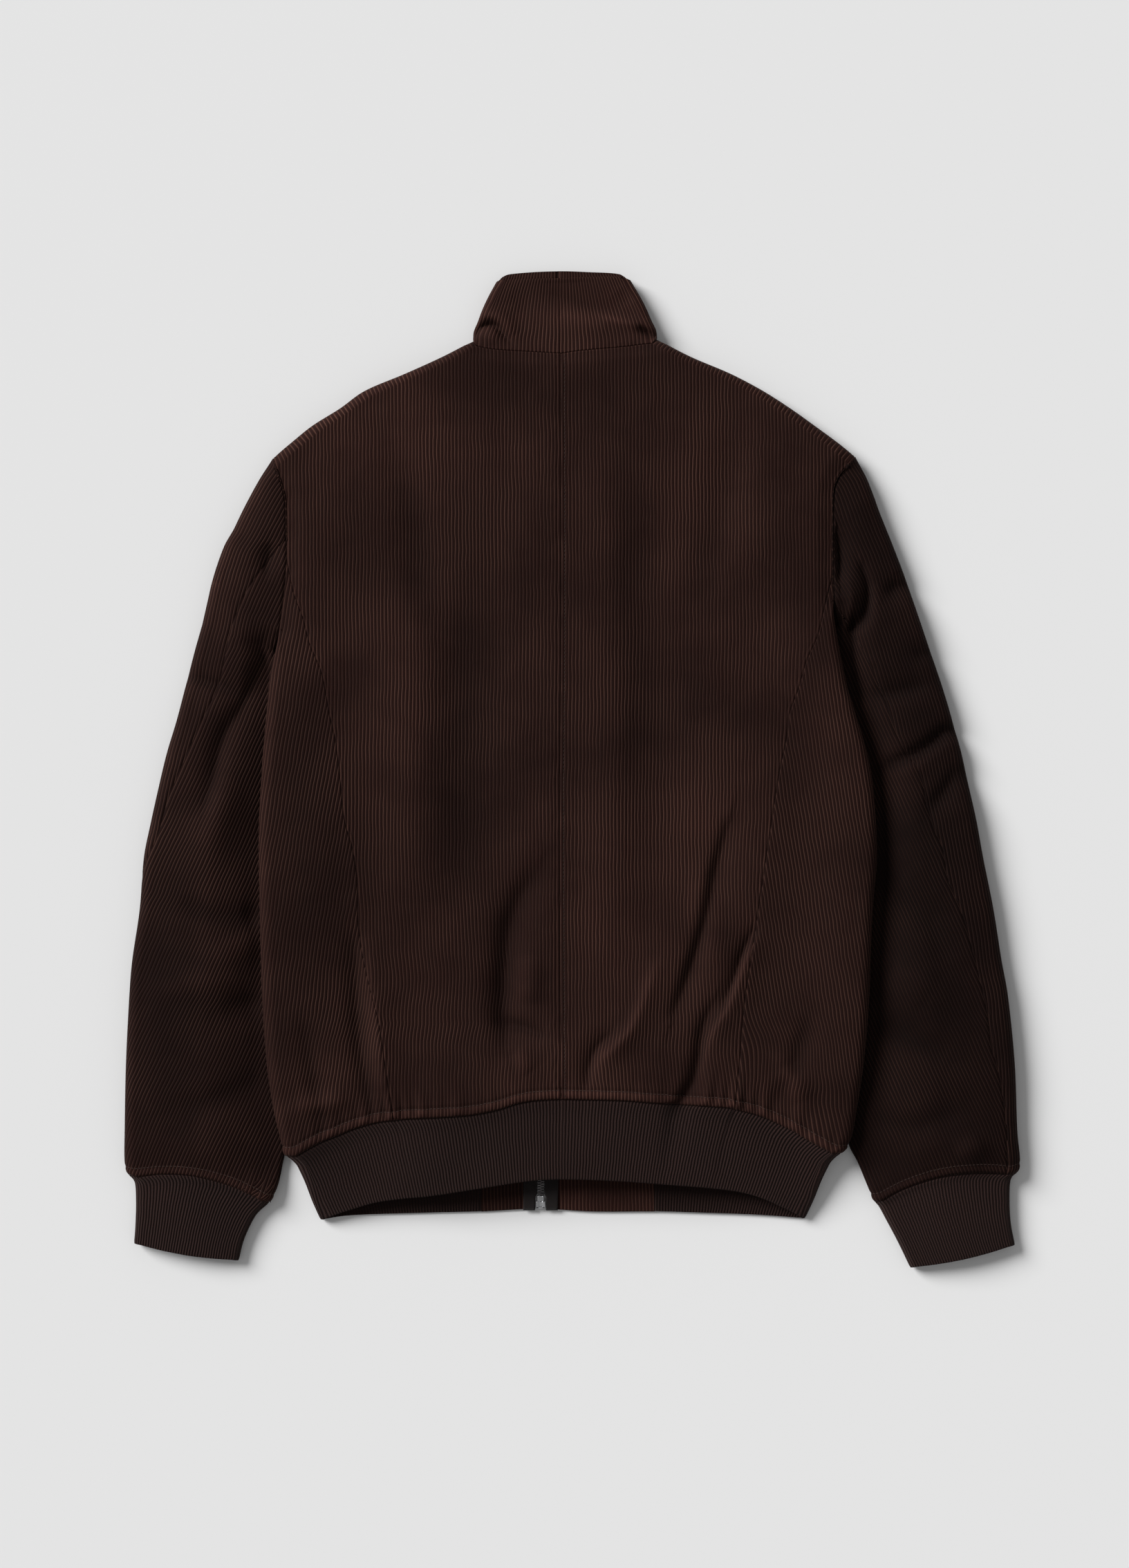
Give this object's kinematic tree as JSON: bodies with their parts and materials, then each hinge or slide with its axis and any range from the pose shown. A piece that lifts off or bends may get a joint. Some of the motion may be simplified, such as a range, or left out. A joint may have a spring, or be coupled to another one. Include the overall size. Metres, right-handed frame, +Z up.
{
  "type": "corduroy jacket",
  "caption": "Zip-front corduroy jacket with a stand collar, ribbed hem and ribbed cuffs, lying flat on its front with the back up.",
  "frame": {"origin": "centre of the bounding box on the surface the jacket lies on", "axes": "+Z up off the surface, out of the jacket's back; +Y from the hem to the collar; +X to the wearer's right"},
  "size_m": [0.7777, 0.8667, 0.0258],
  "materials": {
    "corduroy": "dark brown cotton corduroy, about eleven wales to the inch, with a short nap",
    "rib_knit": "taupe brown rib knit",
    "zip_tape": "black woven tape",
    "zip_metal": "bright nickel-plated metal, darker on the teeth"
  },
  "bodies": {
    "jacket": {"back_left": "corduroy", "back_right": "corduroy", "side_left": "corduroy", "side_right": "corduroy", "front_left": "corduroy", "front_right": "corduroy", "collar": "corduroy", "sleeve_left_upper": "corduroy", "sleeve_left_under": "corduroy", "sleeve_right_upper": "corduroy", "sleeve_right_under": "corduroy", "hem_tab_left": "corduroy", "hem_tab_right": "corduroy", "cuff_left": "rib_knit", "cuff_right": "rib_knit", "hem_rib": "rib_knit", "zip_tape_left": "zip_tape", "zip_tape_right": "zip_tape", "zip_chain": "zip_metal", "zip_box": "zip_metal", "zip_pin": "zip_metal", "zip_slider": "zip_metal"},
    "pull_tab": {"zip_pull": "zip_metal"}
  },
  "joints": [
    {"name": "pull_tab_hinge", "type": "hinge", "parent": "jacket", "child": "pull_tab", "pos_m": [-0.01215, 0.4162, 0.0016], "axis": [1, 0, 0], "range_deg": [0, 170]}
  ]
}
